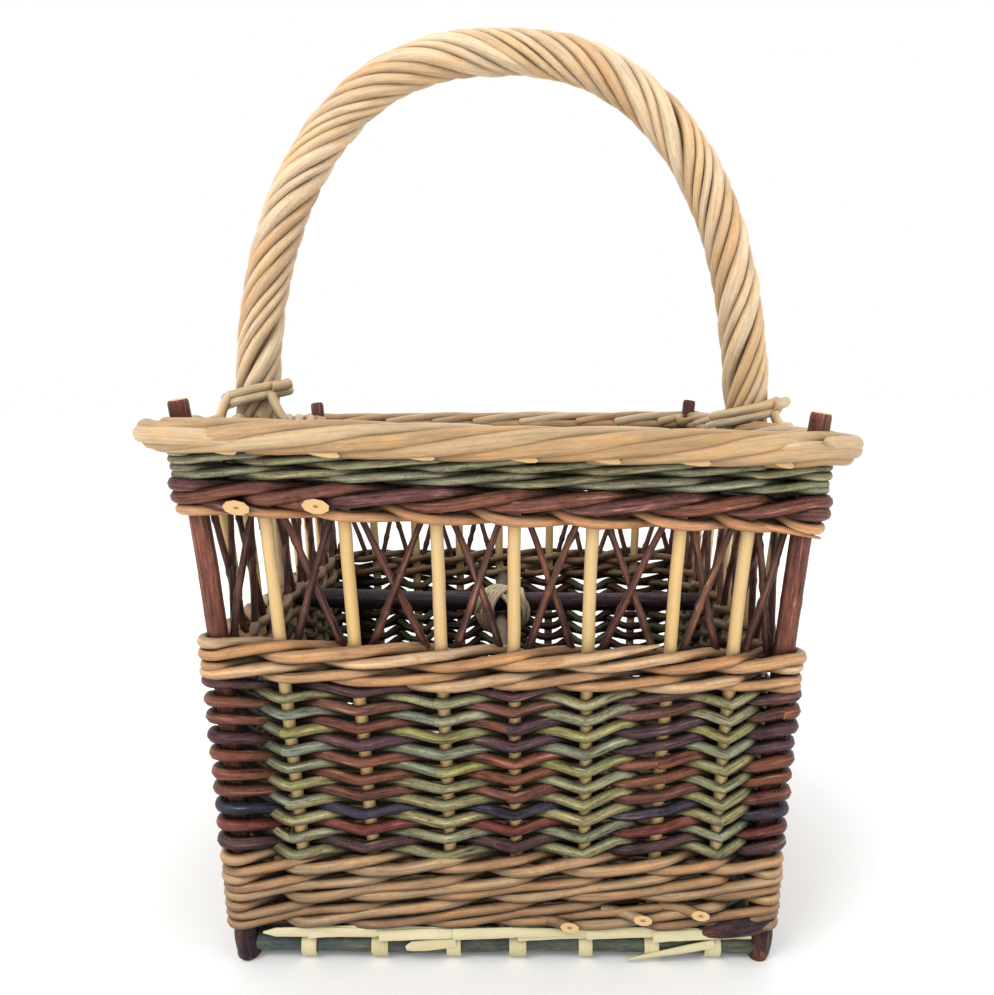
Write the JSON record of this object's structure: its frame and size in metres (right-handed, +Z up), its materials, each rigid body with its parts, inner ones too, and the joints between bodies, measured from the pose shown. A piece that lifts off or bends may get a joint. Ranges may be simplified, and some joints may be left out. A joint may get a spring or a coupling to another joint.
{
  "type": "wicker basket with fixed arch handle",
  "caption": "Open square willow basket that flares upwards, with woven bands, an openwork band of crossed rods, inner cross bars and a fixed twisted arch handle.",
  "frame": {"origin": "middle of the square that the corner posts' feet stand on, at ground level", "axes": "+Z up, +X to the basket's right as seen from the front, front wall faces -Y; the handle arches from the left to the right wall"},
  "size_m": [0.3396, 0.3272, 0.4995],
  "materials": {
    "brown_bark_willow": "satin bark",
    "peeled_willow": "satin",
    "stake_willow": "satin",
    "tan_willow": "satin",
    "green_bark_willow": "matt bark",
    "purple_bark_willow": "satin bark",
    "grey_bark_willow": "matt bark"
  },
  "bodies": {
    "root": {"corner_post_front_left": "brown_bark_willow", "corner_post_front_right": "brown_bark_willow", "corner_post_back_right": "brown_bark_willow", "corner_post_back_left": "brown_bark_willow", "stake_front_1": "stake_willow", "stake_front_2": "stake_willow", "stake_front_3": "stake_willow", "stake_front_4": "stake_willow", "stake_front_5": "stake_willow", "stake_front_6": "stake_willow", "stake_front_7": "stake_willow", "stake_right_1": "stake_willow", "stake_right_2": "stake_willow", "stake_right_3": "stake_willow", "stake_right_4": "stake_willow", "stake_right_5": "stake_willow", "stake_right_6": "stake_willow", "stake_right_7": "stake_willow", "stake_back_1": "stake_willow", "stake_back_2": "stake_willow", "stake_back_3": "stake_willow", "stake_back_4": "stake_willow", "stake_back_5": "stake_willow", "stake_back_6": "stake_willow", "stake_back_7": "stake_willow", "stake_left_1": "stake_willow", "stake_left_2": "stake_willow", "stake_left_3": "stake_willow", "stake_left_4": "stake_willow", "stake_left_5": "stake_willow", "stake_left_6": "stake_willow", "stake_left_7": "stake_willow", "base_rail_front": "grey_bark_willow", "base_rail_right": "grey_bark_willow", "base_rail_back": "grey_bark_willow", "base_rail_left": "grey_bark_willow", "floor_mat": "stake_willow", "bottom_wale": "tan_willow", "body_weave": "green_bark_willow", "middle_wale": "tan_willow", "lattice_front": "brown_bark_willow", "lattice_right": "brown_bark_willow", "lattice_back": "brown_bark_willow", "lattice_left": "brown_bark_willow", "pairing_rod_outer": "tan_willow", "pairing_rod_inner": "tan_willow", "purple_wale": "purple_bark_willow", "green_wale": "green_bark_willow", "border": "peeled_willow", "cross_bar": "purple_bark_willow", "cross_pole": "grey_bark_willow", "centre_lashing": "peeled_willow", "handle_bow": "peeled_willow", "handle_strand_1": "peeled_willow", "handle_strand_2": "peeled_willow", "handle_strand_3": "peeled_willow", "handle_strand_4": "peeled_willow", "handle_strand_5": "peeled_willow", "handle_binding_left": "peeled_willow", "handle_binding_right": "peeled_willow"}
  },
  "joints": []
}
